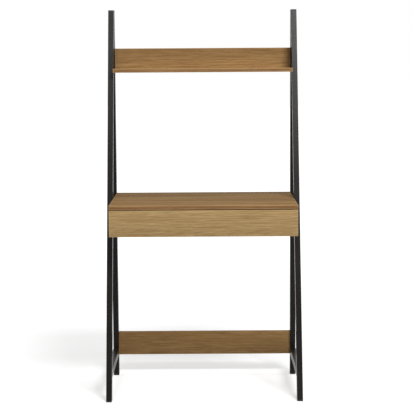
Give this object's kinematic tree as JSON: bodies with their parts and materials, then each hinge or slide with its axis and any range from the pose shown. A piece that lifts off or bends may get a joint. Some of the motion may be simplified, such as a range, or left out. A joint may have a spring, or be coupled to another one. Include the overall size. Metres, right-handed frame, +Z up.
{
  "type": "ladder desk",
  "caption": "Free-standing ladder desk: leaning painted steel side frames carry a wood-effect worktop with a full-width drawer, an upper shelf with a back board and a low stretcher.",
  "frame": {"origin": "centre of the desk's footprint, on the floor", "axes": "+X to the right seen from the front, +Y towards the wall behind the desk, +Z up"},
  "size_m": [0.754, 0.484, 1.5],
  "materials": {
    "frame_paint": "satin charcoal powder coat",
    "cap_plastic": "black moulded plastic",
    "oak_board": "oak-effect foil on particle board, edged",
    "drawer_board": "plain oak-effect foil",
    "hardboard": "printed hardboard",
    "runner_coating": "pale epoxy coat on folded sheet",
    "roller_nylon": "white nylon",
    "fastener_steel": "zinc-plated steel"
  },
  "bodies": {
    "desk": {"barrel_nuts": "fastener_steel", "case_back": "oak_board", "case_back_screws": "fastener_steel", "case_cam_bolts": "fastener_steel", "case_cams": "fastener_steel", "case_roller_axles": "fastener_steel", "case_runner_screws": "fastener_steel", "desktop": "oak_board", "hole_plugs": "cap_plastic", "left_case_runner": "runner_coating", "left_case_side": "oak_board", "left_front_foot": "cap_plastic", "left_front_leg": "frame_paint", "left_rear_foot": "cap_plastic", "left_rear_leg": "frame_paint", "left_side_rail": "frame_paint", "left_top_cap": "cap_plastic", "long_frame_bolts": "fastener_steel", "rear_stretcher": "oak_board", "right_case_runner": "runner_coating", "right_case_side": "oak_board", "right_front_foot": "cap_plastic", "right_front_leg": "frame_paint", "right_rear_foot": "cap_plastic", "right_rear_leg": "frame_paint", "right_side_rail": "frame_paint", "right_top_cap": "cap_plastic", "shelf_back_board": "oak_board", "shelf_back_screws": "fastener_steel", "short_frame_bolts": "fastener_steel", "threaded_inserts": "fastener_steel", "upper_shelf": "oak_board"},
    "drawer": {"drawer_back": "drawer_board", "drawer_back_screws": "fastener_steel", "drawer_bottom": "hardboard", "drawer_cam_bolts": "fastener_steel", "drawer_cams": "fastener_steel", "drawer_front": "oak_board", "drawer_left_side": "drawer_board", "drawer_right_side": "drawer_board", "drawer_roller_axles": "fastener_steel", "drawer_runner_screws": "fastener_steel", "left_drawer_runner": "runner_coating", "right_drawer_runner": "runner_coating"},
    "left_front_roller": {"left_front_roller": "roller_nylon"},
    "left_rear_roller": {"left_rear_roller": "roller_nylon"},
    "right_front_roller": {"right_front_roller": "roller_nylon"},
    "right_rear_roller": {"right_rear_roller": "roller_nylon"}
  },
  "joints": [
    {"name": "drawer_slide", "type": "slide", "parent": "desk", "child": "drawer", "axis": [0, -1, 0], "range_m": [0, 0.29]},
    {"name": "left_front_roller_spin", "type": "hinge", "parent": "desk", "child": "left_front_roller", "pos_m": [-0.33375, -0.212, 0.6864], "axis": [1, 0, 0], "range_deg": [0, 1960]},
    {"name": "left_rear_roller_spin", "type": "hinge", "parent": "drawer", "child": "left_rear_roller", "pos_m": [-0.33375, 0.165, 0.682], "axis": [1, 0, 0], "range_deg": [0, 1960]},
    {"name": "right_front_roller_spin", "type": "hinge", "parent": "desk", "child": "right_front_roller", "pos_m": [0.33375, -0.212, 0.6864], "axis": [1, 0, 0], "range_deg": [0, 1960]},
    {"name": "right_rear_roller_spin", "type": "hinge", "parent": "drawer", "child": "right_rear_roller", "pos_m": [0.33375, 0.165, 0.682], "axis": [1, 0, 0], "range_deg": [0, 1960]}
  ],
  "couplings": [
    {"joint": "left_front_roller_spin", "follows": "drawer_slide", "rad_per_m": 117.65},
    {"joint": "left_rear_roller_spin", "follows": "drawer_slide", "rad_per_m": 117.65},
    {"joint": "right_front_roller_spin", "follows": "drawer_slide", "rad_per_m": 117.65},
    {"joint": "right_rear_roller_spin", "follows": "drawer_slide", "rad_per_m": 117.65}
  ]
}
